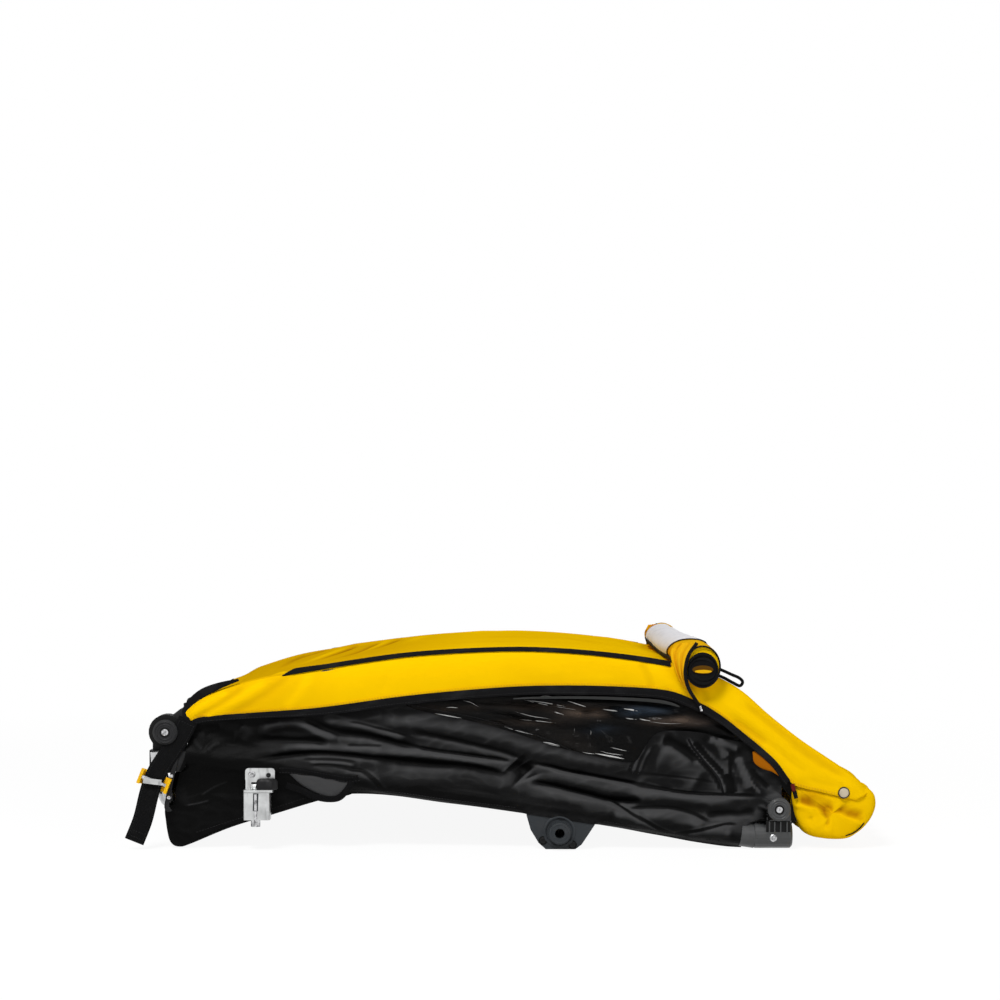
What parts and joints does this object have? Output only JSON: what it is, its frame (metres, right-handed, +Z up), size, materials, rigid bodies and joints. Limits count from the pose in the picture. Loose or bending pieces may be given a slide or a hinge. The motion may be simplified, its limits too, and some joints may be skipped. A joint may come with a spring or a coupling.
{
  "type": "child bike trailer",
  "caption": "Child bike trailer folded flat: hinged tube frame, fabric body with side windows, footwell and side tow hitch, with wheels and tow arm off.",
  "frame": {"origin": "on the ground, under the middle of the folded trailer", "axes": "-X points to the trailer's front, where the footwell is; -Y to its left side, where the tow hitch is; +Z up"},
  "size_m": [0.939, 0.692, 0.2623],
  "materials": {
    "frame_tube": "black powder coat",
    "bare_aluminium": "satin",
    "bright_steel": "plated",
    "black_plastic": "moulded, fine grain",
    "grey_plastic": "moulded, fine grain",
    "yellow_plastic": "moulded",
    "yellow_cloth": "coated plain weave",
    "black_cloth": "coated plain weave",
    "clear_vinyl": "clear film",
    "black_webbing": "woven webbing"
  },
  "bodies": {
    "root": {"side_rail_left": "frame_tube", "side_rail_right": "frame_tube", "front_corner_left": "black_plastic", "front_corner_right": "black_plastic", "front_hinge_bolt_left": "black_plastic", "front_hinge_bolt_right": "black_plastic", "rear_corner_left": "black_plastic", "rear_corner_right": "black_plastic", "rear_hinge_bolt_left": "black_plastic", "rear_hinge_bolt_right": "black_plastic", "bumper_leg_left": "bare_aluminium", "bumper_leg_right": "bare_aluminium", "bumper_cross_tube": "bare_aluminium", "rear_cross_tube": "frame_tube", "axle_cross_tube": "frame_tube", "seat_front_tube": "frame_tube", "axle_receiver_left": "grey_plastic", "axle_receiver_right": "grey_plastic", "footwell": "black_cloth", "floor_sheet": "black_cloth", "seat_cushion": "black_cloth", "side_wall_left": "black_cloth", "side_wall_right": "black_cloth", "side_window_left": "clear_vinyl", "side_window_right": "clear_vinyl", "tow_bracket": "bare_aluminium", "tow_pin": "bright_steel", "tow_pocket": "black_cloth", "folding_strap": "black_webbing", "buckle_frame": "yellow_plastic", "buckle_bar": "bright_steel"},
    "hoop": {"hoop_knuckle_left": "black_plastic", "hoop_knuckle_right": "black_plastic", "hoop_front_tube_left": "frame_tube", "hoop_front_tube_right": "frame_tube", "hoop_elbow_left": "black_plastic", "hoop_elbow_right": "black_plastic", "hoop_roof_tube_left": "frame_tube", "hoop_roof_tube_right": "frame_tube", "hoop_rear_cross_tube": "frame_tube", "side_panel_left": "yellow_cloth", "side_panel_right": "yellow_cloth", "panel_snap_left": "bright_steel", "panel_snap_right": "bright_steel", "canopy": "yellow_cloth", "rear_flap": "yellow_cloth", "cover_roll": "yellow_cloth", "elastic_loop": "black_webbing"},
    "rear_frame": {"upright_left": "frame_tube", "upright_right": "frame_tube", "rear_frame_top_tube": "frame_tube", "latch_hook_left": "black_plastic", "latch_hook_right": "black_plastic", "seat_back": "black_cloth"},
    "tow_receiver": {"tow_receiver": "bare_aluminium"},
    "tow_knob": {"tow_knob": "black_plastic"}
  },
  "joints": [
    {"name": "hoop_fold", "type": "hinge", "parent": "root", "child": "hoop", "pos_m": [-0.418, 0, 0.147], "axis": [0, -1, 0], "range_deg": [0, 45], "deforming": ["side_wall_left", "side_wall_right", "side_window_left", "side_window_right", "canopy", "rear_flap", "cover_roll"]},
    {"name": "rear_frame_fold", "type": "hinge", "parent": "root", "child": "rear_frame", "pos_m": [0.3495, 0, 0.0505], "axis": [0, 1, 0], "range_deg": [0, 73.54]},
    {"name": "tow_receiver_swivel", "type": "hinge", "parent": "root", "child": "tow_receiver", "pos_m": [-0.3044, -0.334, 0.0555], "axis": [0, 0, 1], "range_deg": [0, 90]},
    {"name": "tow_knob_turn", "type": "hinge", "parent": "root", "child": "tow_knob", "pos_m": [-0.2905, -0.338, 0.082], "axis": [0, 0, 1], "range_deg": [0, 180]}
  ],
  "couplings": [
    {"joint": "rear_frame_fold", "follows": "hoop_fold", "ratio": 1.6342}
  ]
}
